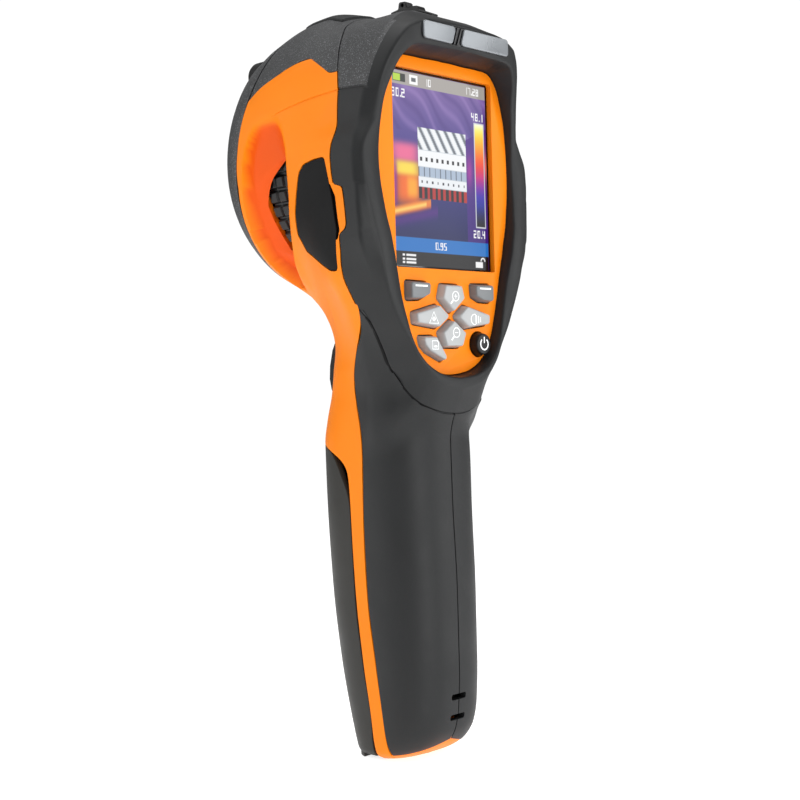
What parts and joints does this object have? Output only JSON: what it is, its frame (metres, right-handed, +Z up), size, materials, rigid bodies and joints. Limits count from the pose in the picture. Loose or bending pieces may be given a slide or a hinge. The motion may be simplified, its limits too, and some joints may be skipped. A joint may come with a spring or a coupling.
{
  "type": "handheld thermal imaging camera",
  "caption": "Upright pistol-grip thermal imaging camera: hooded rear display and keypad, round lens barrel with side focus scoops, long handle with a battery door.",
  "frame": {"origin": "mouth of the tripod insert, in the middle of the flat base", "axes": "+Z up the handle, +Y from the user towards the lens, +X to the user's right; millimetre drawing stored in metres"},
  "size_m": [0.0772, 0.0754, 0.2334],
  "materials": {
    "orange_plastic": "fine matt moulding",
    "charcoal_rubber": "soft-touch, fine grain",
    "grey_plastic": "coarse speckled texture",
    "charcoal_plastic": "fine texture",
    "black_plastic": "satin",
    "light_plastic": "satin printed plate",
    "key_grey": "satin",
    "key_silver": "satin",
    "screen_glass": "clear gloss window",
    "clear_glass": "clear gloss",
    "germanium": "coated germanium, opaque to the eye",
    "seal_rubber": "soft matt",
    "aluminium": "satin",
    "steel": "bright",
    "brass": "plain",
    "gold": "plated",
    "board_green": "solder mask",
    "flex_film": "polyimide film"
  },
  "bodies": {
    "casing": {"front_housing": "orange_plastic", "rear_housing": "charcoal_rubber", "top_cover": "grey_plastic", "top_trim": "charcoal_rubber", "front_ring": "grey_plastic", "grip_left": "charcoal_rubber", "grip_right": "charcoal_rubber", "face_panel": "orange_plastic", "display_window": "screen_glass", "display_module": "aluminium", "name_plate": "light_plastic", "dome_sheet": "steel", "keypad_board": "board_green", "main_board": "board_green", "chassis": "aluminium", "handle_frame": "charcoal_plastic", "battery_pack": "black_plastic", "battery_contacts": "gold", "cover_hinge_pin": "steel", "trigger_pin": "steel", "trigger_switch": "black_plastic", "lens_bezel": "black_plastic", "lens_seal": "seal_rubber", "barrel_guide": "black_plastic", "infrared_detector": "steel", "detector_board": "board_green", "camera_pod": "black_plastic", "camera_window": "clear_glass", "camera_module": "aluminium", "lamp_pod": "black_plastic", "lamp_lens": "clear_glass", "lamp_emitter": "aluminium", "laser_module": "brass", "side_inlay": "seal_rubber", "io_board": "board_green", "usb_socket": "steel", "card_slot": "steel", "memory_card": "black_plastic", "tripod_insert": "brass", "strap_bar": "steel", "accessory_lug": "charcoal_plastic", "housing_screws": "steel", "board_screws": "steel", "flex_cable": "flex_film"},
    "b_key_soft_left": {"key_soft_left": "key_grey"},
    "b_key_soft_right": {"key_soft_right": "key_grey"},
    "b_key_up": {"key_up": "key_silver"},
    "b_key_down": {"key_down": "key_silver"},
    "b_key_left": {"key_left": "key_silver"},
    "b_key_right": {"key_right": "key_silver"},
    "b_key_save": {"key_save": "key_silver"},
    "b_key_power": {"key_power": "black_plastic"},
    "trigger_lever": {"trigger": "black_plastic"},
    "focus_dial": {"focus_wheel": "black_plastic"},
    "lens_group": {"lens_carriage": "black_plastic", "front_lens": "germanium", "rear_lens": "germanium"},
    "shutter": {"shutter_flag": "steel"},
    "socket_cover": {"port_cover": "seal_rubber"},
    "battery_door": {"battery_cover": "charcoal_plastic"}
  },
  "joints": [
    {"name": "press_soft_left", "type": "slide", "parent": "casing", "child": "b_key_soft_left", "axis": [0, 1, 0], "range_m": [0, 0.0007], "stiffness_N_per_m": 400},
    {"name": "press_soft_right", "type": "slide", "parent": "casing", "child": "b_key_soft_right", "axis": [0, 1, 0], "range_m": [0, 0.0007], "stiffness_N_per_m": 400},
    {"name": "press_up", "type": "slide", "parent": "casing", "child": "b_key_up", "axis": [0, 1, 0], "range_m": [0, 0.0007], "stiffness_N_per_m": 400},
    {"name": "press_down", "type": "slide", "parent": "casing", "child": "b_key_down", "axis": [0, 1, 0], "range_m": [0, 0.0007], "stiffness_N_per_m": 400},
    {"name": "press_left", "type": "slide", "parent": "casing", "child": "b_key_left", "axis": [0, 1, 0], "range_m": [0, 0.0007], "stiffness_N_per_m": 400},
    {"name": "press_right", "type": "slide", "parent": "casing", "child": "b_key_right", "axis": [0, 1, 0], "range_m": [0, 0.0007], "stiffness_N_per_m": 400},
    {"name": "press_save", "type": "slide", "parent": "casing", "child": "b_key_save", "axis": [0, 1, 0], "range_m": [0, 0.0007], "stiffness_N_per_m": 400},
    {"name": "press_power", "type": "slide", "parent": "casing", "child": "b_key_power", "axis": [0, 1, 0], "range_m": [0, 0.0007], "stiffness_N_per_m": 400},
    {"name": "trigger_pull", "type": "hinge", "parent": "casing", "child": "trigger_lever", "pos_m": [0, 0.0135, 0.1345], "axis": [-1, 0, 0], "range_deg": [0, 7], "stiffness_Nm_per_rad": 0.9},
    {"name": "focus_turn", "type": "hinge", "parent": "casing", "child": "focus_dial", "pos_m": [0, 0.017, 0.184], "axis": [0, 1, 0], "range_deg": [-60, 60]},
    {"name": "lens_travel", "type": "slide", "parent": "casing", "child": "lens_group", "axis": [0, 1, 0], "range_m": [-0.0013, 0.0013]},
    {"name": "shutter_swing", "type": "hinge", "parent": "casing", "child": "shutter", "pos_m": [0.013, -0.0015, 0.1945], "axis": [0, 1, 0], "range_deg": [0, 50]},
    {"name": "socket_cover_open", "type": "hinge", "parent": "casing", "child": "socket_cover", "pos_m": [-0.0387, 0.0103, 0.166], "axis": [0, 0, -1], "range_deg": [0, 100]},
    {"name": "battery_door_open", "type": "hinge", "parent": "casing", "child": "battery_door", "pos_m": [0, 0.0048, 0.003], "axis": [-1, 0, 0], "range_deg": [0, 65]}
  ],
  "couplings": [
    {"joint": "lens_travel", "follows": "focus_turn", "m_per_rad": 0.00115}
  ]
}
